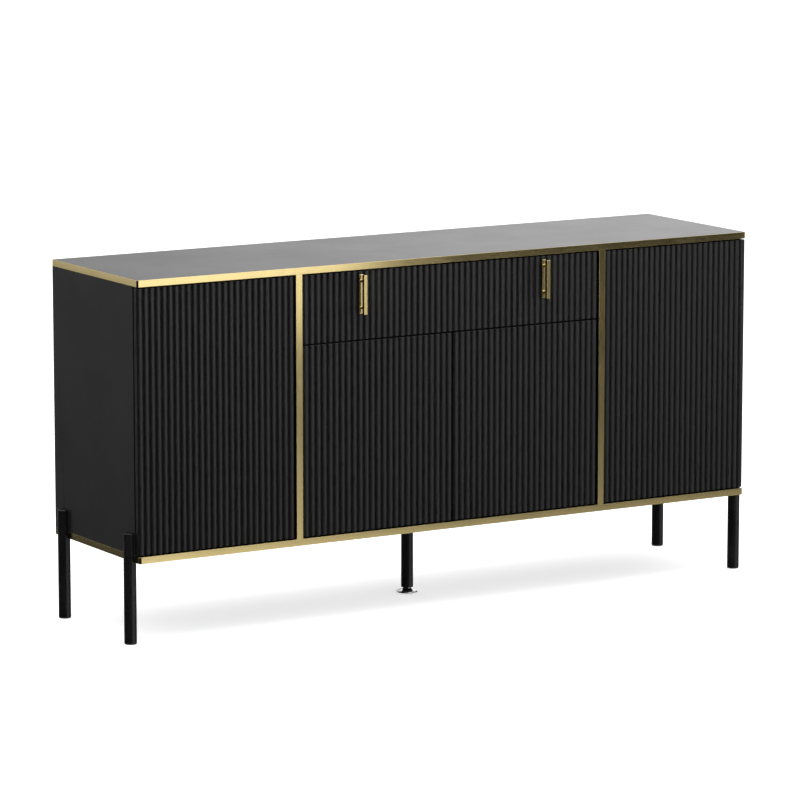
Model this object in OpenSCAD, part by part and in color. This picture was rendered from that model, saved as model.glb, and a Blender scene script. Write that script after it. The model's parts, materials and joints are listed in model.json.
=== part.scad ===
// Fluted sideboard on tube legs: two tall outer doors, two inner doors under a wide drawer.
// Millimetres, +Z up. The origin is on the floor under the middle of the carcass, the fronts face -Y.

/* [Carcass] */
// Width of the carcass
width = 1600; // [1500:10:1700]
// Depth of the carcass
depth = 405; // [400:5:440]
// Height from the floor to the top
height = 805; // [780:5:840]
// Thickness of the boards
board_t = 15; // [15:1:18]
// Distance between the centres of the two partitions
centre_bay_w = 798; // [760:2:840]
// Thickness of the back panels
back_t = 3; // [3:1:5]
// Thickness of the shelves
shelf_t = 15; // [12:1:18]

/* [Edge bands and trims] */
// Thickness of the metal band around the top and the bottom
band_t = 1.5; // [1:0.5:2]
// Radius of the front corners of the top and the bottom
corner_r = 5; // [3:0.5:8]
// Wall of the channel over each partition's front edge
trim_wall = 0.6; // [0.4:0.1:0.8]
// Depth that the channel wraps back over the partition
trim_wrap = 12; // [8:1:14]

/* [Fronts] */
// Thickness of the doors and the drawer front, flutes included
front_t = 18; // [18:1:20]
// Gap around every front
front_gap = 3; // [3:0.5:4]
// How far the flute crests stand behind the front of the bands
front_setback = 1.5; // [1:0.5:3]
// Height of the drawer front
drawer_front_h = 154; // [150:1:180]
// Flutes on each outer door
outer_flutes = 26; // [24:1:28]
// Flutes on each inner door, and on each half of the drawer front
inner_flutes = 25; // [24:1:26]
// Depth of the grooves between the flutes
flute_depth = 5; // [4:0.5:5]
// Radius of each door's back corner on the hinge side
door_back_r = 4; // [4:0.5:5]

/* [Legs] */
// Diameter of the leg tubes
leg_d = 28; // [24:1:30]
// Wall of the leg tubes
leg_wall = 1.5; // [1.5:0.5:2]
// Free height under the carcass
leg_clearance = 183; // [150:1:200]
// How far a corner leg laps up the side of the carcass
leg_lap = 64; // [60:1:80]
// How far a corner leg's axis stands outside the carcass side
leg_outboard = 3; // [2:0.5:4]
// Distance from the carcass front to the front legs' axes
front_leg_inset = 41; // [35:1:60]
// Distance from the carcass back to the back legs' axes
back_leg_inset = 47; // [35:1:60]
// Diameter of the levelling foot under the middle leg
foot_d = 49; // [40:1:60]

/* [Drawer] */
// Height of the drawer box
drawer_box_h = 110; // [90:1:112]
// Length of the telescopic slides
slide_l = 350; // [300:10:350]
// Thickness of the drawer box boards
drawer_t = 12; // [10:1:12]
// Height of the drawer handles
handle_l = 88; // [80:1:100]
// Distance from a handle's posts to its middle
handle_post = 30; // [25:1:35]
// Flute that carries each handle, counted from the middle of the drawer
handle_flute = 16; // [10:1:20]

/* [Hidden] */
$fn = 48;

eps = 1;                 // how far a cutter runs past the face it cuts

// Levels of the carcass
base_z = leg_clearance;
floor_z = base_z + board_t;
ceiling_z = height - board_t;
front_y = -depth / 2;
back_y = depth / 2;
board_back_y = back_y - back_t;

// Fronts: the crest plane, the back of the doors, and the front edge of the boards behind them
crest_y = front_y + front_setback;
door_back_y = crest_y + front_t;
board_front_y = door_back_y + front_gap;
door_z0 = floor_z + front_gap;
door_z1 = ceiling_z - front_gap;
drawer_z0 = door_z1 - drawer_front_h;
inner_door_z1 = drawer_z0 - front_gap;

// Partitions and their channels
part_x = centre_bay_w / 2;
part_in = part_x - board_t / 2;
part_out = part_x + board_t / 2;
side_in = width / 2 - board_t;
trim_half = board_t / 2 + trim_wall;

// Widths of the fronts
inner_edge = part_x - trim_half - front_gap;
outer_edge = part_x + trim_half + front_gap;
outer_door_w = width / 2 - outer_edge;
inner_door_w = inner_edge - front_gap / 2;
outer_pitch = outer_door_w / outer_flutes;
inner_pitch = inner_edge / inner_flutes;

// Divider shelf under the drawer, centred on the gap between the drawer and the inner doors
divider_z = drawer_z0 - front_gap / 2 - board_t / 2;

// Shelves
shelf_gap = 1;
shelf_setback = 12;       // how far the shelves stand back from the boards that hold them
shelf_front_y = board_front_y + shelf_setback;
outer_shelf_z = 485;
centre_shelf_z = 405;
pin_r = 2.5;
pin_depth = 7;
pin_out = 8;
pin_inset = 50;
pin_step = 32;
pin_steps = [-pin_step, 0, pin_step];

// Cam fittings that tie the upright boards to the top and the bottom
cam_r = 7.5;
cam_depth = 12.5;
cam_reach = 34;
cam_bolt_r = 3;
cam_bolt_bite = 10;
cam_y = [-120, 120];

// Single-pin cup hinges. In a hinge's own frame x runs from the door's edge across the door,
// y runs back from the crest plane, and z is level with the hinge's middle.
pivot = [8.5, 10.5];
hinge_pin_r = 1.5;
hinge_clear = 0.05;
hinge_pin_l = 14.8;
knuckle_r = 2.9;
knuckle_w = 10;
cup_x = 20.5;
cup_r = 17.5;
cup_depth = 11.5;
cup_wall = 1;
cup_floor = 0.8;
cup_gap = 0.1;
cup_flange_t = 1.2;
cup_flange = [32, 56];
cup_flange_x = 5.1;      // distance from the door's edge to the flange
lug_z = 5.4;
lug_t = 2;
lug_r = 3;
arm_t = 3;
arm_w = 14;
arm_end = 24;            // distance from the door's edge to the far side of the arm
arm_back = 75;           // how far back the arm reaches
jog_y = front_t + 5;     // where a cranked arm turns towards its partition
plate_t = 6;
plate_y = [32, 72];
plate_rib_w = 16;
plate_wing = [46, 60];
plate_wing_h = 40;
plate_screw = 14;        // distance from a plate's middle to each of its screws
screw_r = 2;
screw_head_r = 3.8;
screw_head_h = 2;
screw_bite = 12;
hinge_inset = 80;
outer_hinge_z = [door_z0 + hinge_inset, door_z1 - hinge_inset];
inner_hinge_z = [door_z0 + hinge_inset, inner_door_z1 - hinge_inset];
outer_base = board_t;                     // face that carries an outer door's plate
inner_base = -(front_gap + trim_wall);    // face that carries an inner door's plate

// Push latches
latch_w = 14;
latch_h = 20;
latch_l = 60;
latch_drop = 14;         // from the mounting face down to the plunger
latch_setback = 5;
latch_y = board_front_y + latch_setback;
plunger_r = 4;
plunger_clear = 0.05;
plunger_gap = 0.3;
plunger_l = 50;
plunger_tip = [3, 2];    // radius and length of the cushioned tip
latch_bore_l = 54;
latch_inset = 23.5;       // distance from a partition to the middle of an outer door's latch
latch_outer_x = part_out + latch_inset;
latch_inner_x = 24;

// Drawer and slides
drawer_rise = 20.5;       // from the divider's lower face up to the drawer box
drawer_box_z = divider_z + drawer_rise;
slide_w = 12.7;
slide_rise = 48;
slide_z = drawer_box_z + slide_rise;
slide_setback = 2;
slide_y = board_front_y + slide_setback;
slide_wall = 1.2;
slide_outer = [0, 9.5, 45];       // web, lip and height of each member
slide_middle = [1.7, 10, 38];
slide_inner = [slide_w, 4.2, 30];
drawer_out = part_in - slide_w;
drawer_in = drawer_out - drawer_t;
drawer_back_y = slide_y + slide_l;
drawer_bottom_t = 5;
handle_x = (handle_flute - 0.5) * inner_pitch;
handle_rise = 102;        // from the drawer front's lower edge to the middle of its handles
handle_z = drawer_z0 + handle_rise;
handle_base = [10, 2];
handle_base_edge = 0.6;
handle_bar = [8.5, 8.5];
handle_bar_edge = 0.6;
handle_screw_start = 10;  // how far behind the bar's front a handle's screw begins
handle_stand = 21;
handle_post_r = 3;
drawer_screw_x = [-330, -110, 110, 330];
drawer_screw_z = [drawer_box_z + 25, drawer_box_z + drawer_box_h - 15];
drawer_screw_bite = 10;

// Legs
leg_r = leg_d / 2;
leg_bore_r = leg_r - leg_wall;
leg_x = width / 2 + leg_outboard;
leg_front_y = front_y + front_leg_inset;
leg_back_y = back_y - back_leg_inset;
leg_top_z = base_z + leg_lap;
leg_plate_t = 3;
leg_top_edge = 1;
leg_screw_reach = 3;     // how far a leg's screw stands past the plate inside the leg
glide_h = 2.5;
glide_plug_h = 12;
glide_clear = 0.1;
glide_inset = 0.5;
leg_screw_r = 3;
leg_screw_head_r = 5.5;
leg_screw_head_h = 3;
leg_screw_z = [base_z + 28, base_z + 50];
centre_leg_z = 12;
flange_r = 32;
flange_t = 3;
flange_screw_bite = 11;
stud_r = 4;
stud_clear = 0.05;
stud_neck_r = 3.5;
stud_neck_z = 5;
stud_shoulder_z = 11;
stud_top_z = 62;
insert_z = 16;
insert_h = 20;
stud_seat_z = 4.5;       // floor of the socket in the foot
stud_step = 0.2;
foot_rim_r = 2.2;
foot_cone_r = 9;

// Back panel screws
back_screw_r = 1.5;
back_screw_head_r = 3;
back_screw_l = 15;
back_screw_head_h = 1;
back_screw_x = [part_x - board_t / 4, part_x + board_t / 4, width / 2 - board_t / 2];
back_screw_z = [floor_z + 30, (floor_z + ceiling_z) / 2, ceiling_z - 30];

// ---- Helpers ----

module flip(right) {
    if (right) mirror([1, 0, 0]) children();
    else children();
}

module both_sides() {
    flip(false) children();
    flip(true) children();
}

module box(low, high) {
    translate(low) cube(high - low);
}

// Cylinders along +X and +Y, as a screw or a bore lies
module rod_x(r, l) {
    rotate([0, 90, 0]) cylinder(r = r, h = l);
}

module rod_y(r, l) {
    rotate([-90, 0, 0]) cylinder(r = r, h = l);
}

// ---- Carcass ----

// Outline of the top and the bottom, inset at the front and the sides, rounded at the front
module plate_outline(inset, past_back) {
    r = corner_r - inset;
    half = width / 2 - inset;
    front = front_y + inset;
    translate([-half, front + r]) square([2 * half, back_y + past_back - front - r]);
    translate([-half + r, front]) square([2 * half - 2 * r, 2 * r]);
    for (side = [-1, 1]) translate([side * (half - r), front + r]) circle(r);
}

module plate(z) {
    translate([0, 0, z]) linear_extrude(board_t) plate_outline(band_t, 0);
}

module edge_band(z) {
    color("darkgoldenrod") translate([0, 0, z]) linear_extrude(board_t) difference() {
        plate_outline(0, 0);
        plate_outline(band_t, eps);
    }
}

// Bolts of the cam fittings, from the top and the bottom into the middle of each cam
module cam_bolt_set() {
    bolt_l = cam_bolt_bite + cam_reach;
    for (x = [-width / 2 + board_t / 2, -part_x, part_x, width / 2 - board_t / 2], y = cam_y) {
        translate([x, y, floor_z - cam_bolt_bite]) cylinder(r = cam_bolt_r, h = bolt_l);
        translate([x, y, ceiling_z + cam_bolt_bite - bolt_l]) cylinder(r = cam_bolt_r, h = bolt_l);
    }
}

// Cams in the left side panel and the left partition, each let into the face towards the outer bay
module cam_set_left() {
    for (y = cam_y, z = [floor_z + cam_reach, ceiling_z - cam_reach]) {
        translate([-side_in - cam_depth, y, z]) rod_x(cam_r, cam_depth);
        translate([-part_out, y, z]) rod_x(cam_r, cam_depth);
    }
}

module top_panel() {
    color([0.09, 0.09, 0.09]) difference() {
        plate(ceiling_z);
        cam_bolt_set();
    }
}

module bottom_panel() {
    color([0.09, 0.09, 0.09]) difference() {
        plate(base_z);
        cam_bolt_set();
        centre_leg_screws();
    }
}

// Pins of one shelf; x0 and x1 are the faces of the boards that hold it
module shelf_pin_set(x0, x1, z, r) {
    for (y = [shelf_front_y + pin_inset, board_back_y - pin_inset]) {
        translate([x0 - pin_depth, y, z]) rod_x(r, pin_depth + pin_out);
        translate([x1 - pin_out, y, z]) rod_x(r, pin_depth + pin_out);
    }
}

module outer_pin_holes() {
    for (step = pin_steps) shelf_pin_set(-side_in, -part_out, outer_shelf_z - pin_r + step, pin_r);
}

module centre_pin_holes() {
    for (step = pin_steps) shelf_pin_set(-part_in, part_in, centre_shelf_z - pin_r + step, pin_r);
}

// Screws that hold the left side's two corner legs, from inside the carcass
module leg_screw_set_left() {
    screw_l = board_t + leg_plate_t + leg_screw_reach;
    for (y = [leg_front_y, leg_back_y], z = leg_screw_z) {
        translate([-side_in - screw_l, y, z]) rod_x(leg_screw_r, screw_l);
        translate([-side_in, y, z]) rod_x(leg_screw_head_r, leg_screw_head_h);
    }
}

module back_screw_set() {
    for (side = [-1, 1], x = back_screw_x, z = back_screw_z) {
        translate([side * x, back_y - back_screw_l, z]) rod_y(back_screw_r, back_screw_l);
        translate([side * x, back_y - back_screw_head_h, z]) rod_y(back_screw_head_r, back_screw_head_h);
    }
}

module side_panel_left() {
    color([0.1, 0.1, 0.1]) difference() {
        box([-width / 2, board_front_y, floor_z], [-side_in, board_back_y, ceiling_z]);
        cam_bolt_set();
        cam_set_left();
        outer_pin_holes();
        leg_screw_set_left();
        back_screw_set();
        outer_hinges() plate_screws(outer_base);
    }
}

module partition_left() {
    color([0.09, 0.09, 0.09]) difference() {
        box([-part_out, front_y + trim_wall, floor_z], [-part_in, board_back_y, ceiling_z]);
        cam_bolt_set();
        cam_set_left();
        outer_pin_holes();
        centre_pin_holes();
        back_screw_set();
        inner_hinges() plate_screws(inner_base);
    }
}

// Channel over a partition's front edge
module partition_trim_left() {
    color("goldenrod") difference() {
        box([-part_x - trim_half, front_y, floor_z],
            [-part_x + trim_half, front_y + trim_wrap, ceiling_z]);
        box([-part_out, front_y + trim_wall, floor_z - eps],
            [-part_in, front_y + trim_wrap + eps, ceiling_z + eps]);
    }
}

module divider_shelf() {
    color([0.09, 0.09, 0.09])
        box([-part_in, board_front_y, divider_z], [part_in, board_back_y, divider_z + board_t]);
}

module back_panel(x0, x1) {
    color([0.12, 0.12, 0.12]) difference() {
        box([x0, board_back_y, floor_z], [x1, back_y, ceiling_z]);
        back_screw_set();
    }
}

module back_panel_screws() {
    color("silver") back_screw_set();
}

module shelf(x0, x1, z) {
    color([0.09, 0.09, 0.09])
        box([x0 + shelf_gap, shelf_front_y, z], [x1 - shelf_gap, board_back_y - shelf_gap, z + shelf_t]);
}

module shelf_pins() {
    color("silver") {
        both_sides() shelf_pin_set(-side_in, -part_out, outer_shelf_z - pin_r, pin_r);
        shelf_pin_set(-part_in, part_in, centre_shelf_z - pin_r, pin_r);
    }
}

module cam_locks() {
    color("gray") difference() {
        both_sides() cam_set_left();
        cam_bolt_set();
    }
}

module cam_bolts() {
    color("silver") cam_bolt_set();
}

// ---- Fluted fronts ----

// Slab with its flutes facing -Y: crests at y = 0, back at y = front_t, bottom at z = 0
module fluted_slab(w, h, pitch, count, back_r) {
    flute_r = (pitch * pitch / 4 + flute_depth * flute_depth) / (2 * flute_depth);
    linear_extrude(h) difference() {
        intersection() {
            square([w, front_t]);
            union() {
                translate([0, flute_depth]) square([w, front_t - flute_depth]);
                for (i = [0 : count - 1]) translate([(i + 0.5) * pitch, flute_r]) circle(flute_r);
            }
        }
        if (back_r > 0) translate([-eps, front_t - back_r]) difference() {
            square([back_r + eps, back_r + eps]);
            translate([back_r + eps, 0]) circle(back_r);
        }
    }
}

module outer_hinges() {
    for (z = outer_hinge_z) translate([-width / 2, crest_y, z]) children();
}

module inner_hinges() {
    for (z = inner_hinge_z) translate([-inner_edge, crest_y, z]) children();
}

module cup_bore() {
    translate([cup_x, front_t - cup_depth, 0]) rod_y(cup_r, cup_depth + eps);
}

module outer_door_left() {
    color([0.16, 0.16, 0.16]) difference() {
        translate([-width / 2, crest_y, door_z0])
            fluted_slab(outer_door_w, door_z1 - door_z0, outer_pitch, outer_flutes, door_back_r);
        outer_hinges() cup_bore();
    }
}

module inner_door_left() {
    color([0.16, 0.16, 0.16]) difference() {
        translate([-inner_edge, crest_y, door_z0])
            fluted_slab(inner_door_w, inner_door_z1 - door_z0, inner_pitch, inner_flutes, door_back_r);
        inner_hinges() cup_bore();
    }
}

// ---- Hinges ----

// Pot let into the door, with a flange on the door's back and two lugs that turn on the pin
module hinge_cup() {
    pot_r = cup_r - cup_gap;
    mouth_r = pot_r - cup_wall;
    pot_y = front_t - cup_depth;
    lug_y = pot_y + cup_floor;
    difference() {
        union() {
            difference() {
                union() {
                    translate([cup_x, pot_y, 0]) rod_y(pot_r, cup_depth);
                    translate([cup_flange_x, front_t, -cup_flange[1] / 2])
                        cube([cup_flange[0], cup_flange_t, cup_flange[1]]);
                }
                translate([cup_x, lug_y, 0]) rod_y(mouth_r, cup_depth + cup_flange_t);
            }
            for (z = [-lug_z - lug_t, lug_z]) translate([pivot[0] - lug_r, lug_y, z])
                cube([2 * lug_r, pivot[1] + lug_r - lug_y, lug_t]);
        }
        translate([pivot[0], pivot[1], -hinge_pin_l / 2 - eps])
            cylinder(r = hinge_pin_r + hinge_clear, h = hinge_pin_l + 2 * eps);
    }
}

module hinge_pin() {
    translate([pivot[0], pivot[1], -hinge_pin_l / 2]) cylinder(r = hinge_pin_r, h = hinge_pin_l);
}

// Arm from the pin, across inside the cup, out of its mouth and back to the plate on face base
module hinge_arm(base) {
    rest = base + plate_t;
    difference() {
        union() {
            translate([pivot[0], pivot[1], -knuckle_w / 2]) cylinder(r = knuckle_r, h = knuckle_w);
            translate([pivot[0], pivot[1] - arm_t / 2, -knuckle_w / 2])
                cube([arm_end - pivot[0], arm_t, knuckle_w]);
            translate([arm_end - arm_t, pivot[1] - arm_t / 2, -knuckle_w / 2])
                cube([arm_t, jog_y + arm_t - pivot[1] + arm_t / 2, knuckle_w]);
            translate([rest, jog_y, -arm_w / 2]) cube([arm_end - rest, arm_t, arm_w]);
            translate([rest, jog_y, -arm_w / 2]) cube([arm_t, arm_back - jog_y, arm_w]);
        }
        hinge_pin();
    }
}

module hinge_plate(base) {
    difference() {
        union() {
            translate([base, plate_y[0], -plate_rib_w / 2])
                cube([plate_t, plate_y[1] - plate_y[0], plate_rib_w]);
            translate([base, plate_wing[0], -plate_wing_h / 2])
                cube([plate_t / 2, plate_wing[1] - plate_wing[0], plate_wing_h]);
        }
        plate_screws(base);
    }
}

module plate_screws(base) {
    for (z = [-plate_screw, plate_screw]) translate([base, (plate_wing[0] + plate_wing[1]) / 2, z]) {
        translate([-screw_bite, 0, 0]) rod_x(screw_r, screw_bite + plate_t / 2);
        translate([plate_t / 2, 0, 0]) rod_x(screw_head_r, screw_head_h);
    }
}

module hinge_cups_outer() {
    color("lightgray") outer_hinges() hinge_cup();
}

module hinge_cups_inner() {
    color("lightgray") inner_hinges() hinge_cup();
}

module hinge_pins() {
    color("silver") both_sides() {
        outer_hinges() hinge_pin();
        inner_hinges() hinge_pin();
    }
}

module hinge_arms() {
    color("lightgray") both_sides() {
        outer_hinges() hinge_arm(outer_base);
        inner_hinges() hinge_arm(inner_base);
    }
}

module hinge_plates() {
    color("silver") both_sides() {
        outer_hinges() hinge_plate(outer_base);
        inner_hinges() hinge_plate(inner_base);
    }
}

module hinge_screws() {
    color("gray") both_sides() {
        outer_hinges() plate_screws(outer_base);
        inner_hinges() plate_screws(inner_base);
    }
}

// ---- Push latches ----

module latch_housing(x, z) {
    difference() {
        box([x - latch_w / 2, latch_y, z - latch_h], [x + latch_w / 2, latch_y + latch_l, z]);
        translate([x, latch_y - eps, z - latch_drop]) rod_y(plunger_r + plunger_clear, latch_bore_l + eps);
    }
}

module latch_housings() {
    color("dimgray") both_sides() {
        latch_housing(-latch_outer_x, ceiling_z);
        latch_housing(-latch_inner_x, divider_z);
    }
}

// Plunger with a cushioned tip just clear of the closed door
module latch_plunger(x, z) {
    color("gray") translate([x, door_back_y + plunger_gap, z - latch_drop]) {
        rod_y(plunger_tip[0], plunger_tip[1]);
        translate([0, plunger_tip[1], 0]) rod_y(plunger_r, plunger_l - plunger_tip[1]);
    }
}

// ---- Drawer ----

module handle_post_places() {
    for (side = [-1, 1]) translate([0, 0, handle_z + side * handle_post]) children();
}

// Screws of one handle and of the drawer front, driven from inside the drawer
module drawer_screw_set() {
    screw_back = door_back_y + drawer_t;
    handle_screw_y = crest_y - handle_stand + handle_screw_start;
    both_sides() translate([-handle_x, 0, 0]) handle_post_places() {
        translate([0, handle_screw_y, 0]) rod_y(screw_r, screw_back - handle_screw_y);
        translate([0, screw_back, 0]) rod_y(screw_head_r, screw_head_h);
    }
    for (x = drawer_screw_x, z = drawer_screw_z) {
        translate([x, door_back_y - drawer_screw_bite, z]) rod_y(screw_r, drawer_screw_bite + drawer_t);
        translate([x, screw_back, z]) rod_y(screw_head_r, screw_head_h);
    }
}

module drawer_front() {
    color([0.16, 0.16, 0.16]) difference() {
        translate([-inner_edge, crest_y, drawer_z0])
            fluted_slab(2 * inner_edge, drawer_front_h, inner_pitch, 2 * inner_flutes, 0);
        drawer_screw_set();
    }
}

module drawer_box_front() {
    color([0.14, 0.14, 0.14]) difference() {
        box([-drawer_in, door_back_y, drawer_box_z + drawer_bottom_t],
            [drawer_in, door_back_y + drawer_t, drawer_box_z + drawer_box_h]);
        drawer_screw_set();
    }
}

module drawer_side_left() {
    color([0.14, 0.14, 0.14])
        box([-drawer_out, door_back_y, drawer_box_z],
            [-drawer_in, drawer_back_y, drawer_box_z + drawer_box_h]);
}

module drawer_back() {
    color([0.14, 0.14, 0.14])
        box([-drawer_in, drawer_back_y - drawer_t, drawer_box_z + drawer_bottom_t],
            [drawer_in, drawer_back_y, drawer_box_z + drawer_box_h]);
}

module drawer_bottom() {
    color([0.12, 0.12, 0.12])
        box([-drawer_in, door_back_y, drawer_box_z],
            [drawer_in, drawer_back_y, drawer_box_z + drawer_bottom_t]);
}

module drawer_screws() {
    color("silver") drawer_screw_set();
}

// Outline of a bar with rounded edges, centred on x, from y = 0 back to y = d
module rounded_bar(w, d, r) {
    translate([-w / 2, r]) square([w, d - 2 * r]);
    translate([r - w / 2, 0]) square([w - 2 * r, d]);
    for (x = [r - w / 2, w / 2 - r], y = [r, d - r]) translate([x, y]) circle(r);
}

// Pull: a base strip on the flute's crest, two posts and a front bar
module drawer_handle_left() {
    bar_y = crest_y - handle_stand;
    color("gold") translate([-handle_x, 0, 0]) difference() {
        union() {
            translate([0, crest_y - handle_base[1], handle_z - handle_l / 2])
                linear_extrude(handle_l) rounded_bar(handle_base[0], handle_base[1], handle_base_edge);
            translate([0, bar_y, handle_z - handle_l / 2])
                linear_extrude(handle_l) rounded_bar(handle_bar[0], handle_bar[1], handle_bar_edge);
            handle_post_places() translate([0, bar_y + eps, 0]) rod_y(handle_post_r, handle_stand - 2 * eps);
        }
        handle_post_places() translate([0, bar_y + handle_screw_start, 0]) rod_y(screw_r, handle_stand);
    }
}

// Telescopic slides. Each member is a channel along Y; x is measured from the partition's face.
// The channel's web stands at x = web, and its flanges run from the web to x = lip.
module slide_channel(member) {
    web = member[0];
    lip = member[1];
    h = member[2];
    low = min(web, lip);
    high = max(web, lip);
    inside_low = web < lip ? low + slide_wall : low - eps;
    inside_high = web < lip ? high + eps : high - slide_wall;
    translate([-part_in, slide_y, slide_z]) difference() {
        box([low, 0, -h / 2], [high, slide_l, h / 2]);
        box([inside_low, -eps, -h / 2 + slide_wall], [inside_high, slide_l + eps, h / 2 - slide_wall]);
    }
}

module slide_outer_members() {
    color("silver") both_sides() slide_channel(slide_outer);
}

module slide_middle_members() {
    color("lightgray") both_sides() slide_channel(slide_middle);
}

module slide_inner_members() {
    color("silver") both_sides() slide_channel(slide_inner);
}

// ---- Legs ----

// Corner leg: a tube whose upper end is cut back to the carcass side, with a shoulder under the
// bottom, a flat plate against the side and a closed, chamfered top
module corner_leg_left(y) {
    side = -width / 2;
    shaft_h = leg_top_z - glide_h - leg_top_edge;
    color([0.07, 0.07, 0.07]) difference() {
        translate([-leg_x, y, glide_h]) {
            cylinder(r = leg_r, h = shaft_h);
            translate([0, 0, shaft_h]) cylinder(r1 = leg_r, r2 = leg_r - leg_top_edge, h = leg_top_edge);
        }
        box([side, y - leg_r - eps, base_z], [side + leg_r + eps, y + leg_r + eps, leg_top_z + eps]);
        translate([-leg_x, y, 0]) cylinder(r = leg_bore_r, h = base_z - leg_plate_t);
        difference() {
            translate([-leg_x, y, base_z - leg_plate_t - eps])
                cylinder(r = leg_bore_r, h = leg_lap + eps);
            box([side - leg_plate_t, y - leg_r, 0], [side + leg_r, y + leg_r, leg_top_z]);
        }
        leg_screw_set_left();
    }
}

module leg_screws() {
    color("silver") {
        both_sides() leg_screw_set_left();
        centre_leg_screws();
    }
}

module leg_glides() {
    color("dimgray") both_sides() for (y = [leg_front_y, leg_back_y]) translate([-leg_x, y, 0]) {
        cylinder(r = leg_r - glide_inset, h = glide_h);
        cylinder(r = leg_bore_r - glide_clear, h = glide_h + glide_plug_h);
    }
}

// Screws up through the middle leg's flange
module centre_leg_screws() {
    flange_z = base_z - flange_t;
    for (angle = [45 : 90 : 315]) rotate([0, 0, angle]) translate([(leg_r + flange_r) / 2, 0, flange_z]) {
        cylinder(r = screw_r, h = flange_t + flange_screw_bite);
        translate([0, 0, -screw_head_h]) cylinder(r = screw_head_r, h = screw_head_h);
    }
}

module centre_leg() {
    color([0.07, 0.07, 0.07]) difference() {
        union() {
            translate([0, 0, centre_leg_z]) cylinder(r = leg_r, h = base_z - centre_leg_z);
            translate([0, 0, base_z - flange_t]) cylinder(r = flange_r, h = flange_t);
        }
        translate([0, 0, centre_leg_z - eps])
            cylinder(r = leg_bore_r, h = base_z - flange_t - centre_leg_z + eps);
        centre_leg_screws();
    }
}

module centre_leg_insert() {
    color("dimgray") translate([0, 0, insert_z]) difference() {
        cylinder(r = leg_bore_r, h = insert_h);
        translate([0, 0, -eps]) cylinder(r = stud_r + stud_clear, h = insert_h + 2 * eps);
    }
}

module foot_stud() {
    stud_low = stud_shoulder_z + stud_step;
    color("silver") {
        translate([0, 0, stud_neck_z]) cylinder(r = stud_neck_r, h = stud_shoulder_z - stud_neck_z + eps);
        translate([0, 0, stud_low]) cylinder(r = stud_r, h = stud_top_z - stud_low);
    }
}

// Flared foot: a rounded rim, then a cone up to the neck of the stud
module levelling_foot() {
    color("gainsboro") difference() {
        union() {
            rotate_extrude($fn = 96) {
                square([foot_d / 2 - foot_rim_r, 2 * foot_rim_r]);
                translate([foot_d / 2 - foot_rim_r, foot_rim_r]) circle(foot_rim_r);
            }
            translate([0, 0, 2 * foot_rim_r])
                cylinder(r1 = foot_d / 2 - foot_rim_r, r2 = foot_cone_r,
                         h = stud_shoulder_z - 2 * foot_rim_r, $fn = 96);
        }
        translate([0, 0, stud_seat_z]) cylinder(r = stud_neck_r + stud_clear, h = stud_shoulder_z);
    }
}

// ---- Nodes ----

top_panel();
edge_band(ceiling_z);  // top_edge_band
bottom_panel();
edge_band(base_z);  // bottom_edge_band
side_panel_left();
flip(true) side_panel_left();  // side_panel_right
partition_left();
flip(true) partition_left();  // partition_right
partition_trim_left();
flip(true) partition_trim_left();  // partition_trim_right
divider_shelf();
back_panel(-width / 2, -part_x);  // back_panel_left
back_panel(-part_x, part_x);  // back_panel_centre
back_panel(part_x, width / 2);  // back_panel_right
back_panel_screws();
shelf(-side_in, -part_out, outer_shelf_z);  // shelf_left
shelf(-part_in, part_in, centre_shelf_z);  // shelf_centre
shelf(part_out, side_in, outer_shelf_z);  // shelf_right
shelf_pins();
cam_locks();
cam_bolts();
outer_door_left();  // door_outer_left
flip(true) outer_door_left();  // door_outer_right
inner_door_left();  // door_inner_left
flip(true) inner_door_left();  // door_inner_right
hinge_cups_outer();  // hinge_cups_outer_left
flip(true) hinge_cups_outer();  // hinge_cups_outer_right
hinge_cups_inner();  // hinge_cups_inner_left
flip(true) hinge_cups_inner();  // hinge_cups_inner_right
hinge_pins();
hinge_arms();
hinge_plates();
hinge_screws();
drawer_front();
drawer_box_front();
drawer_side_left();
flip(true) drawer_side_left();  // drawer_side_right
drawer_back();
drawer_bottom();
drawer_screws();
drawer_handle_left();
flip(true) drawer_handle_left();  // drawer_handle_right
slide_outer_members();
slide_middle_members();
slide_inner_members();
latch_housings();
latch_plunger(-latch_outer_x, ceiling_z);  // latch_plunger_outer_left
latch_plunger(latch_outer_x, ceiling_z);  // latch_plunger_outer_right
latch_plunger(-latch_inner_x, divider_z);  // latch_plunger_inner_left
latch_plunger(latch_inner_x, divider_z);  // latch_plunger_inner_right
corner_leg_left(leg_front_y);  // leg_front_left
flip(true) corner_leg_left(leg_front_y);  // leg_front_right
corner_leg_left(leg_back_y);  // leg_back_left
flip(true) corner_leg_left(leg_back_y);  // leg_back_right
leg_screws();
leg_glides();
centre_leg();
centre_leg_insert();
foot_stud();
levelling_foot();
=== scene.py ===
"""Looks of the fluted sideboard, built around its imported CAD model. Lengths are in metres, +Z is up."""

import json
import math

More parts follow.
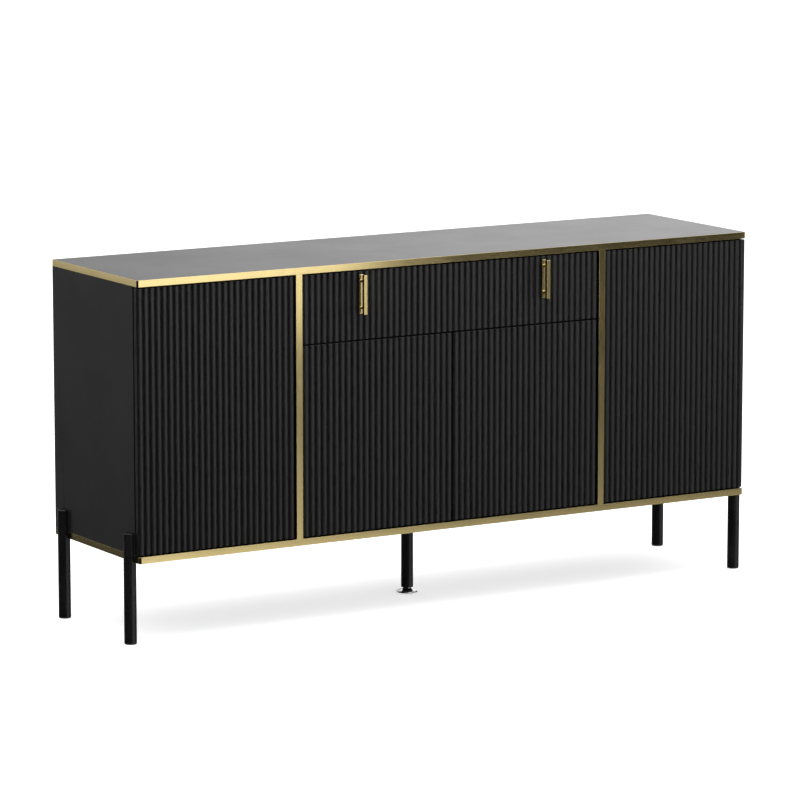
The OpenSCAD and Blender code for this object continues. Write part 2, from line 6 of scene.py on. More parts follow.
import bmesh
import bpy
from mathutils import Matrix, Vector


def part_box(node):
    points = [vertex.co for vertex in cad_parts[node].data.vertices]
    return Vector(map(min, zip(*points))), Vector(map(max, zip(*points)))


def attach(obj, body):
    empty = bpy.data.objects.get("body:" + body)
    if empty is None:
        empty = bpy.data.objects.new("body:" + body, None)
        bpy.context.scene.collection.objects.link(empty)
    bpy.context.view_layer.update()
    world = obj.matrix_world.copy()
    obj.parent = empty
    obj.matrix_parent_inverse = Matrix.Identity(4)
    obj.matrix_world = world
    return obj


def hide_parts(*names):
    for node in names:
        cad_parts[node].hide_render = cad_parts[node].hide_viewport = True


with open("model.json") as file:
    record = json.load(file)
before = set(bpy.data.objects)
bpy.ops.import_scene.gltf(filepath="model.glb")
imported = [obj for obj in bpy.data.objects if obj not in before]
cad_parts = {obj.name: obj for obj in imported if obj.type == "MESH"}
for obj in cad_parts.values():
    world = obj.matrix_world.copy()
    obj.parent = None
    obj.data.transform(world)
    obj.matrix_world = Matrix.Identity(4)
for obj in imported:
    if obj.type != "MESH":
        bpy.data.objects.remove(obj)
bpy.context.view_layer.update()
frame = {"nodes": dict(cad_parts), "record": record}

MM = 0.001
SIDES = ("left", "right")

# Counts and small sizes that the CAD boxes don't tell
OUTER_FLUTES = 26
INNER_FLUTES = 25
FLUTE_DEPTH = 5 * MM
GROOVE_R = 0.5 * MM
DOOR_END_R = 0.9 * MM
DOOR_BACK_R = 4 * MM
BAND_T = 1.5 * MM
BAND_CORNER_R = 5 * MM
BAND_SOFT_R = 0.35 * MM
TRIM_WALL = 0.6 * MM
TRIM_BEND_R = 0.55 * MM
CUP_BORE_R = 17.5 * MM
CUP_BORE_OVERSHOOT = 1 * MM

# Pulls: posts are sunk into the bar and the strip, and flare towards them
PULL_STRIP_T = 2 * MM
PULL_BAR = 8.5 * MM
PULL_SOFT_R = 0.5 * MM
PULL_POST_R = 3 * MM
PULL_POST_LIFT = 30 * MM
PULL_POST_SINK = 1 * MM
PULL_FLARE = 1 * MM
PULL_FLARE_REACH = 2 * MM

# Legs and the levelling foot
LEG_WALL = 1.5 * MM
LEG_RIM = 0.4 * MM
LEG_CROWN_R = 2 * MM
LEG_BORE_STOP = 2 * MM
LEG_CUT_R = 0.3 * MM
MIDDLE_LEG_R = 14 * MM
FLANGE_T = 3 * MM
WELD_R = 2.5 * MM
FOOT_RIM_R = 2.2 * MM
FOOT_NECK_R = 9 * MM
FOOT_COLLAR_H = 1.5 * MM
FOOT_COLLAR_SOFT = 0.3 * MM
FOOT_TREAD_W = 5 * MM
FOOT_RECESS_H = 0.6 * MM
FOOT_RECESS_SLOPE = 1 * MM
FOOT_DISH = 0.1

# Points closer than this are one point, and faces that meet at less than this angle shade as one
SAME_POINT = 1e-6
SMOOTH_DEG = 32

# View and studio
CAMERA_AZIMUTH = -31.03
CAMERA_ELEVATION = 9.46
CAMERA_DISTANCE = 10.285
CAMERA_AIM = Vector((-0.019, 0, 0.4495))
CAMERA_LENS = 202.3
CAMERA_SENSOR = 36
CAMERA_REACH = 200
FLOOR_R = 60
FLOOR_DROP = 0.5 * MM
FLOOR_GLOW = 0.6


# ---- Mesh helpers ----


def loft(bm, rings):
    """Skins rings of equal length with quads, and closes both ends."""
    rows = [[bm.verts.new(point) for point in ring] for ring in rings]
    for low, high in zip(rows, rows[1:]):
        for i in range(len(low)):
            j = (i + 1) % len(low)
            bm.faces.new((low[i], low[j], high[j], high[i]))
    bm.faces.new(rows[0])
    bm.faces.new(rows[-1])


def arc(centre, radius, start_deg, end_deg, steps):
    """Points on a circle in a plane, from one angle to another, both included."""
    points = []
    for i in range(steps + 1):
        a = math.radians(start_deg + (end_deg - start_deg) * i / steps)
        points.append((centre[0] + radius * math.cos(a), centre[1] + radius * math.sin(a)))
    return points


def circle(centre, radius, segments=48):
    """Points evenly around a whole circle."""
    return arc(centre, radius, 0, 360 * (segments - 1) / segments, segments - 1)


def rounded_rect(low, high, radius, steps=4):
    """Outline of a rectangle with round corners, counter-clockwise."""
    x0, y0 = low
    x1, y1 = high
    corners = [
        ((x1 - radius, y0 + radius), -90),
        ((x1 - radius, y1 - radius), 0),
        ((x0 + radius, y1 - radius), 90),
        ((x0 + radius, y0 + radius), 180),
    ]
    outline = []
    for centre, start in corners:
        outline += arc(centre, radius, start, start + 90, steps)
    return outline


def lathe(bm, profile, centre, segments=64):
    """Turns (radius, height) points about a vertical axis; a radius of 0 closes on the axis."""
    cx, cy = centre
    rows = []
    for radius, z in profile:
        if radius == 0:
            rows.append([bm.verts.new((cx, cy, z))])
            continue
        rows.append([bm.verts.new((x, y, z)) for x, y in circle(centre, radius, segments)])
    for low, high in zip(rows, rows[1:]):
        for i in range(segments):
            j = (i + 1) % segments
            below = [low[i % len(low)], low[j % len(low)]]
            above = [high[j % len(high)], high[i % len(high)]]
            bm.faces.new(list(dict.fromkeys(below + above)))


def rounded_box(bm, low, high, radius, segments=3):
    """Box with rounded edges."""
    made = bmesh.ops.create_cube(bm, size=1)["verts"]
    for vert in made:
        for axis in range(3):
            vert.co[axis] = high[axis] if vert.co[axis] > 0 else low[axis]
    edges = list({edge for vert in made for edge in vert.link_edges})
    bmesh.ops.bevel(
        bm, geom=edges, offset=radius, segments=segments, profile=0.5, affect="EDGES", clamp_overlap=True
    )


def link_mesh(name, bm):
    """Mesh object with the bmesh's faces, outward normals and no parent."""
    bmesh.ops.remove_doubles(bm, verts=bm.verts, dist=SAME_POINT)
    bmesh.ops.recalc_face_normals(bm, faces=bm.faces)
    mesh = bpy.data.meshes.new(name)
    bm.to_mesh(mesh)
    bm.free()
    piece = bpy.data.objects.new(name, mesh)
    bpy.context.scene.collection.objects.link(piece)
    return piece


def cut_out(piece, cutters):
    """Cuts other mesh objects out of a piece, applies the result and removes them."""
    for cutter in cutters:
        step = piece.modifiers.new("boolean", "BOOLEAN")
        step.object = cutter
        step.operation = "DIFFERENCE"
        step.solver = "EXACT"
    graph = bpy.context.evaluated_depsgraph_get()
    graph.update()
    mesh = bpy.data.meshes.new_from_object(piece.evaluated_get(graph))
    piece.modifiers.clear()
    old = piece.data
    piece.data = mesh
    mesh.name = old.name
    bpy.data.meshes.remove(old)
    for cutter in cutters:
        bpy.data.objects.remove(cutter)


def finish_piece(piece, material, body, replaced):
    """Shades a piece, gives it its material and hands it to its body."""
    mesh = piece.data
    mesh.materials.clear()
    mesh.materials.append(material)
    for polygon in mesh.polygons:
        polygon.material_index = 0
        polygon.use_smooth = True
    mesh.set_sharp_from_angle(angle=math.radians(SMOOTH_DEG))
    flat_faces = piece.modifiers.new("flat_faces", "WEIGHTED_NORMAL")
    flat_faces.keep_sharp = True
    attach(piece, body)
    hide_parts(*replaced)


def lift_outline(outline, z):
    """Points of a flat outline at a height."""
    return [(x, y, z) for x, y in outline]


# ---- Node helpers ----


def new_material(name, **settings):
    """Material whose uniform values sit on the shader's own sockets."""
    material = bpy.data.materials.new(name)
    material.use_nodes = True
    shader = material.node_tree.nodes["Principled BSDF"]
    for socket, value in settings.items():
        shader.inputs[socket.replace("_", " ")].default_value = value
    return material


def add_node(material, kind, **values):
    node = material.node_tree.nodes.new(kind)
    for name, value in values.items():
        setattr(node, name, value)
    return node


def connect(material, source, target):
    material.node_tree.links.new(source, target)


def shader_input(material, name):
    return material.node_tree.nodes["Principled BSDF"].inputs[name]


def noise(material, stretch, scale, detail=4, roughness=0.55):
    """Noise in the piece's own coordinates; stretch squeezes it along an axis where it is above 1."""
    place = add_node(material, "ShaderNodeTexCoord")
    mapping = add_node(material, "ShaderNodeMapping")
    mapping.inputs["Scale"].default_value = stretch
    texture = add_node(material, "ShaderNodeTexNoise")
    texture.inputs["Scale"].default_value = scale
    texture.inputs["Detail"].default_value = detail
    texture.inputs["Roughness"].default_value = roughness
    connect(material, place.outputs["Object"], mapping.inputs["Vector"])
    connect(material, mapping.outputs["Vector"], texture.inputs["Vector"])
    return texture.outputs["Fac"]


def remap(material, value, source, target):
    """Maps a value from one (low, high) range to another, and clamps it there."""
    node = add_node(material, "ShaderNodeMapRange")
    node.inputs["From Min"].default_value, node.inputs["From Max"].default_value = source
    node.inputs["To Min"].default_value, node.inputs["To Max"].default_value = target
    connect(material, value, node.inputs["Value"])
    return node.outputs["Result"]


def tint(material, value, dark, light, low=0.3, high=0.7):
    """Colour from dark to light as a value goes from low to high."""
    ramp = add_node(material, "ShaderNodeValToRGB")
    ends = ramp.color_ramp.elements
    ends[0].position, ends[0].color = low, (*dark, 1)
    ends[1].position, ends[1].color = high, (*light, 1)
    connect(material, value, ramp.inputs["Fac"])
    return ramp.outputs["Color"]


def add_values(material, first, second, share):
    """first plus second times share."""
    node = add_node(material, "ShaderNodeMath", operation="MULTIPLY_ADD")
    node.inputs[1].default_value = share
    connect(material, second, node.inputs[0])
    connect(material, first, node.inputs[2])
    return node.outputs["Value"]


def bump(material, height, distance, strength):
    node = add_node(material, "ShaderNodeBump")
    node.inputs["Strength"].default_value = strength
    node.inputs["Distance"].default_value = distance
    connect(material, height, node.inputs["Height"])
    connect(material, node.outputs["Normal"], shader_input(material, "Normal"))


def grey(value):
    return (value, value, value)


# ---- Materials ----


def fluted_film():
    """Black film drawn over routed board: fine long grain, deep pores as dashes, and a satin face."""
    m = new_material("fluted_film", Specular_IOR_Level=0.5, IOR=1.5)
    grain = noise(m, (1, 1, 0.035), 900, detail=5, roughness=0.6)
    dashes = noise(m, (1, 1, 0.09), 330, detail=3, roughness=0.6)
    cloud = noise(m, (1, 1, 0.25), 14, detail=3)
    mixed = add_values(m, grain, cloud, 0.5)
    connect(m, tint(m, mixed, grey(0.0025), grey(0.005), 0.5, 1.0), shader_input(m, "Base Color"))
    sheen = add_values(m, dashes, cloud, 0.3)
    connect(m, remap(m, sheen, (0.45, 0.85), (0.48, 0.24)), shader_input(m, "Roughness"))
    pores = remap(m, dashes, (0.36, 0.5), (0, 1))
    bump(m, add_values(m, pores, grain, 0.35), 0.2 * MM, 0.9)
    return m


def lacquered_top():
    """Black lacquer with a faint orange peel and uneven polish."""
    m = new_material("lacquered_top", Specular_IOR_Level=0.5, IOR=1.5)
    cloud = noise(m, (1, 1, 1), 5, detail=5)
    peel = noise(m, (1, 1, 1), 420, detail=2)
    connect(m, tint(m, cloud, grey(0.011), grey(0.014)), shader_input(m, "Base Color"))
    connect(m, remap(m, cloud, (0.3, 0.7), (0.2, 0.25)), shader_input(m, "Roughness"))
    bump(m, peel, 0.05 * MM, 0.35)
    return m


def board_film(name, dark, light, rough, stretch):
    """Matt black board film with a pressed pore texture that runs along one axis."""
    m = new_material(name, Specular_IOR_Level=0.4, IOR=1.5)
    pores = noise(m, stretch, 700, detail=4, roughness=0.6)
    cloud = noise(m, (1, 1, 1), 6, detail=4)
    mixed = add_values(m, pores, cloud, 0.8)
    connect(m, tint(m, mixed, grey(dark), grey(light), 0.6, 1.2), shader_input(m, "Base Color"))
    polish = remap(m, mixed, (0.6, 1.2), (rough + 0.05, rough - 0.06))
    connect(m, polish, shader_input(m, "Roughness"))
    bump(m, pores, 0.08 * MM, 0.6)
    return m


def satin_gold(name, rough, stretch):
    """Pale gold with brush lines along one axis and a slight change of tone."""
    m = new_material(name, Metallic=1.0, IOR=1.5)
    lines = noise(m, stretch, 1500, detail=3, roughness=0.5)
    cloud = noise(m, (1, 1, 1), 9, detail=4)
    mixed = add_values(m, lines, cloud, 0.6)
    colour = tint(m, mixed, (0.76, 0.605, 0.265), (0.84, 0.68, 0.32), 0.5, 1.1)
    connect(m, colour, shader_input(m, "Base Color"))
    polish = remap(m, mixed, (0.5, 1.1), (rough + 0.04, rough - 0.04))
    connect(m, polish, shader_input(m, "Roughness"))
    bump(m, lines, 0.01 * MM, 0.3)
    return m


def black_enamel():
    """Semi-gloss black powder coat with a fine orange peel."""
    m = new_material("black_enamel", Specular_IOR_Level=0.5, IOR=1.5)
    peel = noise(m, (1, 1, 1), 900, detail=3)
    cloud = noise(m, (1, 1, 0.4), 30, detail=3)
    connect(m, tint(m, cloud, grey(0.003), grey(0.006)), shader_input(m, "Base Color"))
    connect(m, remap(m, cloud, (0.3, 0.7), (0.2, 0.3)), shader_input(m, "Roughness"))
    bump(m, peel, 0.05 * MM, 0.5)
    return m


def plated_steel(name, colour, rough, scale=1200, stretch=(1, 1, 1)):
    """Plated steel with a fine grain and a cloudy tone."""
    m = new_material(name, Metallic=1.0, IOR=1.5)
    grain = noise(m, stretch, scale, detail=3)
    cloud = noise(m, (1, 1, 1), 40, detail=4)
    mixed = add_values(m, grain, cloud, 0.8)
    dark = tuple(0.8 * c for c in colour)
    connect(m, tint(m, mixed, dark, colour, 0.6, 1.2), shader_input(m, "Base Color"))
    polish = remap(m, mixed, (0.6, 1.2), (rough + 0.08, rough - 0.05))
    connect(m, polish, shader_input(m, "Roughness"))
    bump(m, grain, 0.02 * MM, 0.4)
    return m


def moulded_plastic(name, value, rough):
    """Moulded plastic with a fine spark-eroded texture."""
    m = new_material(name, Specular_IOR_Level=0.5, IOR=1.46)
    grain = noise(m, (1, 1, 1), 1600, detail=3)
    cloud = noise(m, (1, 1, 1), 60, detail=3)
    mixed = add_values(m, grain, cloud, 0.5)
    connect(m, tint(m, mixed, grey(0.8 * value), grey(value), 0.5, 1.0), shader_input(m, "Base Color"))
    polish = remap(m, mixed, (0.5, 1.0), (rough + 0.06, rough - 0.06))
    connect(m, polish, shader_input(m, "Roughness"))
    bump(m, grain, 0.03 * MM, 0.6)
    return m


# By slot of the record; gold_strip is the trim's gold with its brush lines upright, for the channels
MATERIALS = {
    "fluted_black": fluted_film(),
    "gloss_top": lacquered_top(),
    "black_board": board_film("black_board_film", 0.006, 0.009, 0.38, (1, 1, 0.05)),
    "hardboard": board_film("black_hardboard", 0.016, 0.03, 0.62, (0.5, 1, 0.5)),
    "drawer_board": board_film("drawer_board_film", 0.03, 0.045, 0.55, (0.08, 0.08, 1)),
    "gold_trim": satin_gold("gold_trim_metal", 0.15, (0.02, 0.02, 1)),
    "gold_strip": satin_gold("gold_strip_metal", 0.15, (1, 1, 0.02)),
    "gold_handle": satin_gold("gold_handle_metal", 0.2, (1, 1, 0.02)),
    "black_leg": black_enamel(),
    "chrome_foot": plated_steel("foot_chrome", (0.85, 0.86, 0.88), 0.08),
    "nickel_hinge": plated_steel("hinge_nickel", (0.66, 0.65, 0.62), 0.24),
    "zinc_hardware": plated_steel("hardware_zinc", (0.62, 0.64, 0.66), 0.32),
    "slide_steel": plated_steel("slide_zinc", (0.58, 0.6, 0.61), 0.3, 1000, (1, 0.03, 1)),
    "dark_plastic": moulded_plastic("dark_plastic", 0.03, 0.5),
    "plunger_plastic": moulded_plastic("plunger_plastic", 0.18, 0.42),
}


def dress_nodes():
    """Gives every CAD node the material of its slot in the record."""
    for row in frame["record"]["subparts"]:
        node = frame["nodes"][row["node"]]
        node.data.materials.clear()
        node.data.materials.append(MATERIALS[row["material_slot"]])


# CAD nodes that are shown as they are, with their sharp edges broken
BOARD_EDGE = 0.6 * MM
METAL_EDGE = 0.2 * MM
SOFTEN_ABOVE_DEG = 50
SOFT_BOARDS = (
    "bottom_panel",
    "top_panel",
    "side_panel_left",
    "side_panel_right",
    "partition_left",
    "partition_right",
    "divider_shelf",
    "shelf_left",
    "shelf_centre",
    "shelf_right",
    "drawer_box_front",
    "drawer_side_left",
    "drawer_side_right",
    "drawer_back",
    "latch_housings",
)
SOFT_METAL = (
    "hinge_arms",
    "hinge_plates",
    "hinge_cups_outer_left",
    "hinge_cups_outer_right",
    "hinge_cups_inner_left",
    "hinge_cups_inner_right",
    "shelf_pins",
    "leg_glides",
)


def soften_nodes(names, width):
    """Breaks the sharp edges of CAD nodes with modifiers, which leave their meshes alone."""
    for name in names:
        node = frame["nodes"][name]
        weld = node.modifiers.new("weld", "WELD")
        weld.merge_threshold = SAME_POINT
        edge = node.modifiers.new("soft_edge", "BEVEL")
        edge.width = width
        edge.segments = 2
        edge.limit_method = "ANGLE"
        edge.angle_limit = math.radians(SOFTEN_ABOVE_DEG)
        edge.harden_normals = True


# ---- Fluted fronts ----


def flute_profile(width, count, inset, steps=10):
    """(x, depth) points along the front of a fluted slab, pressed back by inset.

    Ribs are arcs that meet in a small round groove."""
    pitch = width / count
    rib_r = (pitch * pitch / 4 + FLUTE_DEPTH * FLUTE_DEPTH) / (2 * FLUTE_DEPTH)
    reach = rib_r + GROOVE_R
    groove_y = rib_r - math.sqrt(reach * reach - pitch * pitch / 4)
    turn = math.degrees(math.asin(pitch / 2 / reach))
    points = []
    for i in range(count):
        middle = (i + 0.5) * pitch
        for x, y in arc((0, 0), rib_r - inset, 270 - turn, 270 + turn, steps):
            points.append((middle + x, rib_r + y))
        if i < count - 1:
            for x, y in arc((0, 0), GROOVE_R + inset, 90 + turn, 90 - turn, 4)[1:-1]:
                points.append((middle + pitch / 2 + x, groove_y + y))
    points[0] = (inset, points[0][1])
    points[-1] = (width - inset, points[-1][1])
    return points


def rings_between(ring, z0, z1):
    """Rings that round both ends of a slab with the end radius."""
    made = []
    for turn in (30, 60, 90):
        a = math.radians(turn)
        made.append((DOOR_END_R * (1 - math.cos(a)), DOOR_END_R * (1 - math.sin(a))))
    lower = [ring(z0 + rise, inset) for rise, inset in made]
    upper = [ring(z1 - rise, inset) for rise, inset in reversed(made)]
    return lower + upper


def fluted_front(name, node, count, hinge_side, body, bores=()):
    """Door or drawer front: flutes to the front, soft ends, and a round back corner at the hinge."""
    low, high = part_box(node)
    width, thick = high.x - low.x, high.y - low.y

    def ring(z, inset):
        outline = flute_profile(width, count, inset)
        back_y = thick - inset
        back_right = [(width - inset, back_y)]
        back_left = [(inset, back_y)]
        corner = DOOR_BACK_R
        if hinge_side == "right":
            back_right = arc((width - corner, thick - corner), corner - inset, 0, 90, 6)
        if hinge_side == "left":
            back_left = arc((corner, thick - corner), corner - inset, 90, 180, 6)
        points = outline + back_right + back_left
        return [(low.x + x, low.y + y, z) for x, y in points]

    rings = [ring(low.z, DOOR_END_R)] + rings_between(ring, low.z, high.z) + [ring(high.z, DOOR_END_R)]
    bm = bmesh.new()
    loft(bm, rings)
    piece = link_mesh(name, bm)
    if bores:
        cut_out(piece, [bore_cutter(*bore) for bore in bores])
    finish_piece(piece, MATERIALS["fluted_black"], body, [node])


def bore_cutter(centre, radius, y0, y1):
    """Cylinder along Y, for a blind bore in the back of a door."""
    bm = bmesh.new()
    loft(bm, [[(x, y, z) for x, z in circle(centre, radius)] for y in (y0, y1)])
    return link_mesh("bore_cutter", bm)


def islands(node):
    """(lowest, highest) corners of each separate solid in a CAD node."""
    mesh = frame["nodes"][node].data
    bm = bmesh.new()
    bm.from_mesh(mesh)
    bmesh.ops.remove_doubles(bm, verts=bm.verts, dist=SAME_POINT)
    left = set(bm.verts)
    boxes = []
    while left:
        stack = [left.pop()]
        found = []
        while stack:
            vert = stack.pop()
            found.append(vert.co.copy())
            for edge in vert.link_edges:
                other = edge.other_vert(vert)
                if other in left:
                    left.discard(other)
                    stack.append(other)
        low = Vector(tuple(min(p[k] for p in found) for k in range(3)))
        high = Vector(tuple(max(p[k] for p in found) for k in range(3)))
        boxes.append((low, high))
    bm.free()
    return sorted(boxes, key=lambda box: tuple(round(v, 4) for v in box[0]))


def cup_bores(kind, side, door_high):
    """Bores for a door's hinge cups, from the cups themselves."""
    bores = []
    for low, high in islands(f"hinge_cups_{kind}_{side}"):
        centre = ((low.x + high.x) / 2, (low.z + high.z) / 2)
        bores.append((centre, CUP_BORE_R, low.y, door_high.y + CUP_BORE_OVERSHOOT))
    return bores


def make_fronts():
    for side in SIDES:
        for kind, count in (("outer", OUTER_FLUTES), ("inner", INNER_FLUTES)):
            node = f"door_{kind}_{side}"
            bores = cup_bores(kind, side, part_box(node)[1])
            fluted_front(f"{node}_face", node, count, side, node, bores)
    fluted_front("drawer_front_face", "drawer_front", 2 * INNER_FLUTES, None, "drawer")


# ---- Metal bands and channels ----


def edge_band(name, node):
    """Metal band around the front and the sides of a board, with softened edges."""
    low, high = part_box(node)
    r = BAND_CORNER_R
    path = [((low.x, high.y), (-1, 0))]
    for centre, start in (((low.x + r, low.y + r), 180), ((high.x - r, low.y + r), 270)):
        corner = arc(centre, r, start, start + 90, 10)
        outward = arc((0, 0), 1, start, start + 90, 10)
        path += list(zip(corner, outward))
    path.append(((high.x, high.y), (1, 0)))
    section = rounded_rect((0, low.z), (BAND_T, high.z), BAND_SOFT_R, 3)
    rings = []
    for (x, y), (nx, ny) in path:
        rings.append([(x - nx * inward, y - ny * inward, z) for inward, z in section])
    bm = bmesh.new()
    loft(bm, rings)
    finish_piece(link_mesh(name, bm), MATERIALS["gold_trim"], "root", [node])


def channel(name, node):
    """Folded channel over a partition's front edge."""
    low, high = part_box(node)
    bend = TRIM_BEND_R
    t = TRIM_WALL
    outer = (
        [(low.x, high.y)]
        + arc((low.x + bend, low.y + bend), bend, 180, 270, 4)
        + arc((high.x - bend, low.y + bend), bend, 270, 360, 4)
        + [(high.x, high.y)]
    )
    inner = [(high.x - t, high.y), (high.x - t, low.y + t), (low.x + t, low.y + t), (low.x + t, high.y)]
    bm = bmesh.new()
    loft(bm, [lift_outline(outer + inner, z) for z in (low.z, high.z)])
    finish_piece(link_mesh(name, bm), MATERIALS["gold_strip"], "root", [node])


# ---- Pulls ----


def bar_prism(bm, low, high, soft):
    """Upright bar with soft long edges and softly broken ends."""
    rings = []
    for z, inset in ((low.z, soft), (low.z + soft, 0), (high.z - soft, 0), (high.z, soft)):
        corner = (low.x + inset, low.y + inset)
        far = (high.x - inset, high.y - inset)
        rings.append(lift_outline(rounded_rect(corner, far, soft), z))
    loft(bm, rings)


def pull_post(bm, centre, y0, y1, steps=12):
    """Round post along Y, sunk at both ends and flared towards them."""
    rings = []
    for i in range(steps + 1):
        t = i / steps
        y = y0 + (y1 - y0) * t
        gap = min(y - y0, y1 - y) - PULL_POST_SINK
        spread = PULL_FLARE * min(1, max(0, 1 - gap / PULL_FLARE_REACH)) ** 2
        rings.append([(x, y, z) for x, z in circle(centre, PULL_POST_R + spread)])
    loft(bm, rings)


def make_pull(side):
    """Base strip, square bar and two posts that flare where they meet them."""
    node = f"drawer_handle_{side}"
    low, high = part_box(node)
    middle_x, middle_z = (low.x + high.x) / 2, (low.z + high.z) / 2
    bar_back = low.y + PULL_BAR
    bm = bmesh.new()
    bar_prism(bm, Vector((low.x, high.y - PULL_STRIP_T, low.z)), high, PULL_SOFT_R)
    bar_low = Vector((middle_x - PULL_BAR / 2, low.y, low.z))
    bar_high = Vector((middle_x + PULL_BAR / 2, bar_back, high.z))
    bar_prism(bm, bar_low, bar_high, PULL_SOFT_R)
    for lift in (-PULL_POST_LIFT, PULL_POST_LIFT):
        centre = (middle_x, middle_z + lift)
        pull_post(bm, centre, bar_back - PULL_POST_SINK, high.y - PULL_POST_SINK)
    piece = link_mesh(f"pull_{side}", bm)
    finish_piece(piece, MATERIALS["gold_handle"], "drawer", [node])


# ---- Legs and the levelling foot ----


def make_corner_leg(side, end):
    """Tube leg cut back to the carcass above the bottom board, with a soft closed top."""
    node = f"leg_{end}_{side}"
    low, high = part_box(node)
    board_low, board_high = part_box("bottom_edge_band")
    sign = -1 if side == "left" else 1
    radius = (high.y - low.y) / 2
    axis_x = low.x + radius if side == "left" else high.x - radius
    axis_y = (low.y + high.y) / 2
    bore_r = radius - LEG_WALL
    bore_top = board_low.z - LEG_BORE_STOP
    foot = [(bore_r, low.z), (radius - LEG_RIM, low.z), (radius, low.z + LEG_RIM)]
    crown = arc((radius - LEG_CROWN_R, high.z - LEG_CROWN_R), LEG_CROWN_R, 0, 90, 6)
    bm = bmesh.new()
    lathe(bm, foot + crown + [(0, high.z)], (axis_x, axis_y), 96)
    lathe(bm, [(0, bore_top), (bore_r, bore_top), (bore_r, low.z)], (axis_x, axis_y), 96)
    piece = link_mesh(f"corner_leg_{end}_{side}", bm)
    reach = 2 * radius
    face_x = sign * board_high.x
    near_x, far_x = sorted((face_x, face_x - sign * 3 * radius))
    cut_low = (near_x, axis_y - reach, board_low.z)
    cut_high = (far_x, axis_y + reach, high.z + reach)
    bm = bmesh.new()
    rounded_box(bm, cut_low, cut_high, LEG_CUT_R)
    cut_out(piece, [link_mesh("leg_cutter", bm)])
    finish_piece(piece, MATERIALS["black_leg"], "root", [node])


def make_centre_leg():
    """Middle leg with its mounting flange and a short weld fillet between them."""
    low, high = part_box("centre_leg")
    radius = MIDDLE_LEG_R
    flange_r = (high.x - low.x) / 2
    flange_z = high.z - FLANGE_T
    bore_r = radius - LEG_WALL
    tube = [(0, flange_z), (bore_r, flange_z), (bore_r, low.z)]
    rim = [(radius - LEG_RIM, low.z), (radius, low.z + LEG_RIM)]
    fillet = arc((radius + WELD_R, flange_z - WELD_R), WELD_R, 180, 90, 6)
    flange = [(flange_r - LEG_RIM, flange_z), (flange_r, flange_z + LEG_RIM)]
    flange += [(flange_r, high.z), (0, high.z)]
    bm = bmesh.new()
    lathe(bm, tube + rim + fillet + flange, (0, 0), 96)
    piece = link_mesh("middle_leg", bm)
    finish_piece(piece, MATERIALS["black_leg"], "root", ["centre_leg"])


def make_foot(steps=10):
    """Chrome foot: a rounded rim, a dished flare and a small collar under the leg."""
    low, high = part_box("levelling_foot")
    outer_r = (high.x - low.x) / 2
    tread_r = outer_r - FOOT_TREAD_W
    recess_z = low.z + FOOT_RECESS_H
    sole = [(0, recess_z), (tread_r - FOOT_RECESS_SLOPE, recess_z), (tread_r, low.z)]
    rim = arc((outer_r - FOOT_RIM_R, low.z + FOOT_RIM_R), FOOT_RIM_R, -90, 80, 12)
    rim_r, rim_z = rim[-1]
    collar_z = high.z - FOOT_COLLAR_H
    flare = []
    for i in range(1, steps + 1):
        t = i / steps
        dish = math.sin(math.pi * t) * FOOT_DISH * (high.z - low.z)
        flare.append((rim_r + (FOOT_NECK_R - rim_r) * t, rim_z + (collar_z - rim_z) * t - dish))
    soft = FOOT_COLLAR_SOFT
    collar = [(FOOT_NECK_R, high.z - soft), (FOOT_NECK_R - soft, high.z), (0, high.z)]
    bm = bmesh.new()
    lathe(bm, sole + rim + flare + collar, (0, 0), 128)
    piece = link_mesh("foot_base", bm)
    finish_piece(piece, MATERIALS["chrome_foot"], "levelling_foot", ["levelling_foot"])


# ---- Camera, light and floor ----


def direction(azimuth_deg, elevation_deg):
    """Unit vector; azimuth 0 is the front, -Y, and 90 is the right, +X."""
    azimuth, elevation = math.radians(azimuth_deg), math.radians(elevation_deg)
    flat = math.cos(elevation)
    return Vector((math.sin(azimuth) * flat, -math.cos(azimuth) * flat, math.sin(elevation)))


def add_camera():
    """Long lens from the front left, a little above the top."""
    away = direction(CAMERA_AZIMUTH, CAMERA_ELEVATION)
    data = bpy.data.cameras.new("camera")
    data.lens = CAMERA_LENS
    data.sensor_width = CAMERA_SENSOR
    data.clip_end = CAMERA_REACH
    camera = bpy.data.objects.new("camera", data)
    camera.location = CAMERA_AIM + away * CAMERA_DISTANCE
    camera.rotation_euler = (-away).to_track_quat("-Z", "Y").to_euler()
    bpy.context.scene.collection.objects.link(camera)
    bpy.context.scene.camera = camera


def add_floor():
    """Plain pale floor that fills the view."""
    bm = bmesh.new()
    bmesh.ops.create_circle(bm, cap_ends=True, radius=FLOOR_R, segments=96)
    floor = link_mesh("floor", bm)
    material = new_material("pale_floor", Roughness=0.9, Specular_IOR_Level=0.1)
    shader_input(material, "Emission Strength").default_value = FLOOR_GLOW
    shader_input(material, "Emission Color").default_value = (1, 1, 1, 1)
    cloud = noise(material, (1, 1, 1), 0.6, detail=2)
    connect(material, tint(material, cloud, grey(0.86), grey(0.9)), shader_input(material, "Base Color"))
    floor.data.materials.append(material)
    floor.location.z = -FLOOR_DROP
    floor.visible_glossy = False


# Soft bright patches of the studio: azimuth, elevation, where each begins to fade and ends, strength
SKY_BASE = 0.015
SKY_PATCHES = {
    "overhead": (0, 90, 35, 80, 1.2),
    "behind_right": (150, 15, 15, 60, 0.38),
    "far_right": (135, 8, 5, 22, 0.68),
    "behind_left": (-149, -1.7, 4, 9, 1.0),
    "upper_left": (-149, 8, 2, 24, 0.12),
    "floor_left": (24, -20, 8, 12, 1.2),
    "floor_right": (39, -20.5, 8, 12, 0.55),
    "right_side": (60, 8, 8, 22, 2.3),
}


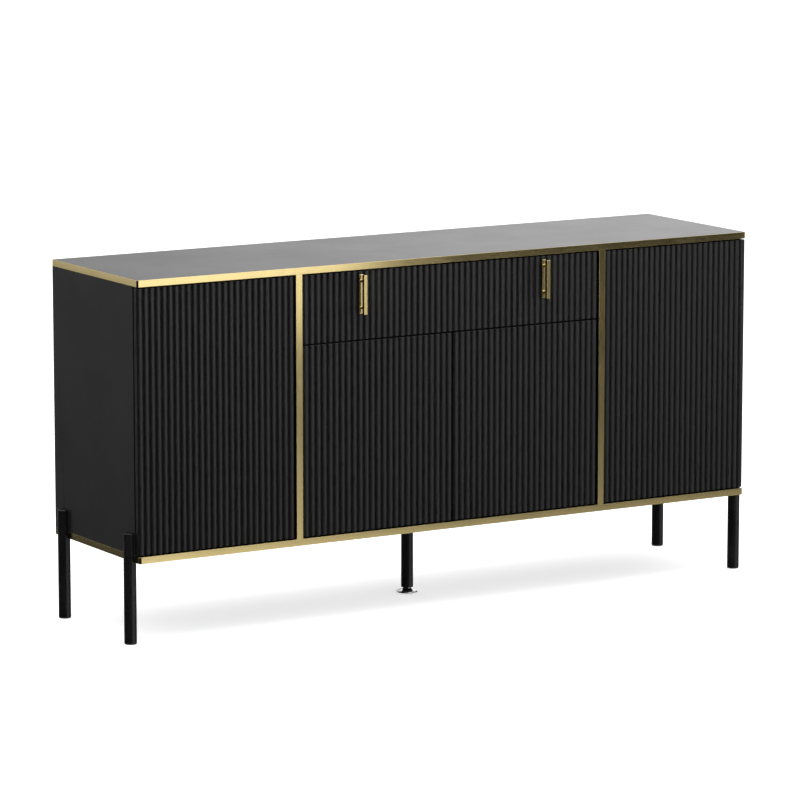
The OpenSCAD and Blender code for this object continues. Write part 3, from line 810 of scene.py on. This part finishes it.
def add_sky(base, patches):
    """Studio surroundings: an even base with soft bright patches."""
    world = bpy.data.worlds.new("studio")
    world.use_nodes = True
    tree = world.node_tree
    place = tree.nodes.new("ShaderNodeTexCoord")
    total = None
    for azimuth, elevation, inner, outer, strength in patches:
        dot = tree.nodes.new("ShaderNodeVectorMath")
        dot.operation = "DOT_PRODUCT"
        dot.inputs[1].default_value = direction(azimuth, elevation)
        tree.links.new(place.outputs["Generated"], dot.inputs[0])
        fade = tree.nodes.new("ShaderNodeMapRange")
        fade.interpolation_type = "SMOOTHSTEP"
        fade.inputs["From Min"].default_value = math.cos(math.radians(outer))
        fade.inputs["From Max"].default_value = math.cos(math.radians(inner))
        fade.inputs["To Max"].default_value = strength
        tree.links.new(dot.outputs["Value"], fade.inputs["Value"])
        add = tree.nodes.new("ShaderNodeMath")
        add.inputs[1].default_value = base
        if total is not None:
            tree.links.new(total, add.inputs[1])
        tree.links.new(fade.outputs["Result"], add.inputs[0])
        total = add.outputs["Value"]
    background = tree.nodes["Background"]
    background.inputs["Color"].default_value = (1, 1, 1, 1)
    tree.links.new(total, background.inputs["Strength"])
    bpy.context.scene.world = world


def add_area(name, place, aim, size, power):
    """Soft box at a place, facing a point; the camera doesn't see it."""
    data = bpy.data.lights.new(name, "AREA")
    data.shape = "RECTANGLE"
    data.size, data.size_y = size
    data.energy = power
    lamp = bpy.data.objects.new(name, data)
    lamp.location = place
    lamp.rotation_euler = (Vector(aim) - Vector(place)).to_track_quat("-Z", "Y").to_euler()
    lamp.visible_camera = False
    bpy.context.scene.collection.objects.link(lamp)


def add_lights():
    add_sky(SKY_BASE, SKY_PATCHES.values())
    add_area("top_box", place=(0, -0.5, 4.5), aim=(0, 0, 0.4), size=(5, 4), power=100)
    add_area("front_card", place=(0.35, -3.95, 1.3), aim=(0.15, 0, 1.3), size=(3.2, 2.5), power=34)
    bpy.context.scene.view_settings.view_transform = "Standard"


dress_nodes()
soften_nodes(SOFT_BOARDS, BOARD_EDGE)
soften_nodes(SOFT_METAL, METAL_EDGE)
make_fronts()
edge_band("top_band", "top_edge_band")
edge_band("bottom_band", "bottom_edge_band")
for side in SIDES:
    channel(f"channel_{side}", f"partition_trim_{side}")
for side in SIDES:
    make_pull(side)
    for end in ("front", "back"):
        make_corner_leg(side, end)
make_centre_leg()
make_foot()
add_camera()
add_floor()
add_lights()
